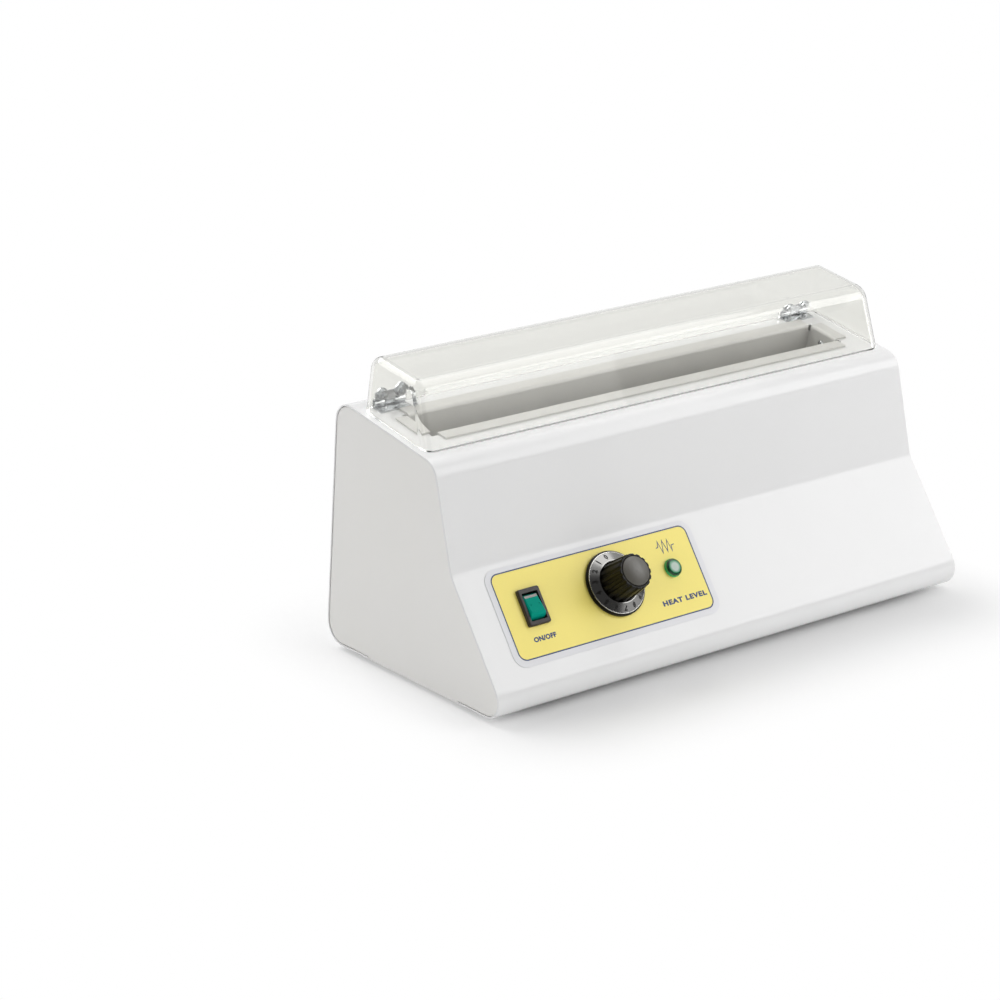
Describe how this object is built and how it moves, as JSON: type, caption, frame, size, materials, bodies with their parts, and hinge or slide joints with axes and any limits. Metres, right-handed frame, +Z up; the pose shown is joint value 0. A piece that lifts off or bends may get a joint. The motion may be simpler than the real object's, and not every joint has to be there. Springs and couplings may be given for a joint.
{
  "type": "roll-on wax heater",
  "caption": "Wedge-shaped table heater for roll-on wax cartridges: aluminium well under a clear hinged lid, front slope with rocker switch, heat knob and pilot lamp.",
  "frame": {"origin": "on the table, under the middle of the heater's bounding box", "axes": "+X along the heater, to the right seen from the control slope; +Y from the control slope to the back; +Z up"},
  "size_m": [0.33, 0.1516, 0.1709],
  "materials": {
    "white_paint": "gloss",
    "white_plastic": "satin",
    "trough_aluminium": "satin, folded sheet",
    "zinc_steel": "zinc plated",
    "bright_steel": "bright",
    "clear_plastic": "clear, polished",
    "black_plastic": "gloss",
    "black_matt_plastic": "matt",
    "green_plastic": "gloss",
    "green_lens": "translucent",
    "dial_aluminium": "spun",
    "label_film": "satin film",
    "black_rubber": "moulded",
    "silicone_mat": "ribbed",
    "fibre_board": "felted",
    "brass": "turned",
    "copper": "drawn",
    "cream_plastic": "matt",
    "wire_insulation": "matt",
    "earth_insulation": "matt, striped",
    "lamp_glass": "clear"
  },
  "bodies": {
    "housing": {"base_hinge_screws": "bright_steel", "base_plate": "zinc_steel", "base_screws": "zinc_steel", "bulb_clips": "zinc_steel", "cap_screws": "zinc_steel", "capillary_tube": "copper", "cartridge_trough": "trough_aluminium", "control_label": "label_film", "earth_nut": "brass", "earth_stud": "brass", "earth_wire": "earth_insulation", "end_cap_left": "white_plastic", "end_cap_right": "white_plastic", "foot_back_left": "black_rubber", "foot_back_right": "black_rubber", "foot_front_left": "black_rubber", "foot_front_right": "black_rubber", "foot_screws": "zinc_steel", "heater_mat_back": "silicone_mat", "heater_mat_front": "silicone_mat", "heater_wires": "wire_insulation", "hinge_base_leaf_left": "bright_steel", "hinge_base_leaf_right": "bright_steel", "hinge_pin_left": "bright_steel", "hinge_pin_right": "bright_steel", "housing_wrap": "white_paint", "inlet_nuts": "zinc_steel", "inlet_pins": "brass", "inlet_screws": "zinc_steel", "insulation_back": "fibre_board", "insulation_front": "fibre_board", "lamp_wires": "wire_insulation", "mains_wires": "wire_insulation", "pilot_lamp_capsule": "lamp_glass", "pilot_lamp_holder": "black_matt_plastic", "pilot_lamp_lens": "green_lens", "pilot_lamp_nut": "zinc_steel", "power_inlet": "black_plastic", "switch_body": "black_plastic", "switch_terminals": "brass", "switch_wires": "wire_insulation", "terminal_block": "cream_plastic", "thermal_cutout": "cream_plastic", "thermostat_body": "black_matt_plastic", "thermostat_bulb": "copper", "thermostat_screws": "zinc_steel", "trough_rivets": "bright_steel", "trough_support_left": "zinc_steel", "trough_support_right": "zinc_steel"},
    "lid": {"clear_lid": "clear_plastic", "hinge_lid_leaf_left": "bright_steel", "hinge_lid_leaf_right": "bright_steel", "lid_hinge_screws": "bright_steel", "lid_hinge_nuts": "bright_steel"},
    "knob": {"knob_body": "black_plastic", "knob_skirt": "dial_aluminium", "knob_cap": "black_matt_plastic", "knob_set_screw": "zinc_steel", "thermostat_shaft": "brass"},
    "rocker": {"switch_rocker": "green_plastic"}
  },
  "joints": [
    {"name": "lid_hinge", "type": "hinge", "parent": "housing", "child": "lid", "pos_m": [0, 0.04412, 0.14298], "axis": [-1, 0, 0], "range_deg": [0, 85]},
    {"name": "knob_turn", "type": "hinge", "parent": "housing", "child": "knob", "pos_m": [-0.0693, -0.05195, 0.05021], "axis": [0, 0.8131, -0.5821], "range_deg": [0, 255]},
    {"name": "rocker_tilt", "type": "hinge", "parent": "housing", "child": "rocker", "pos_m": [-0.1244, -0.05032, 0.04904], "axis": [1, 0, 0], "range_deg": [0, 26]}
  ]
}
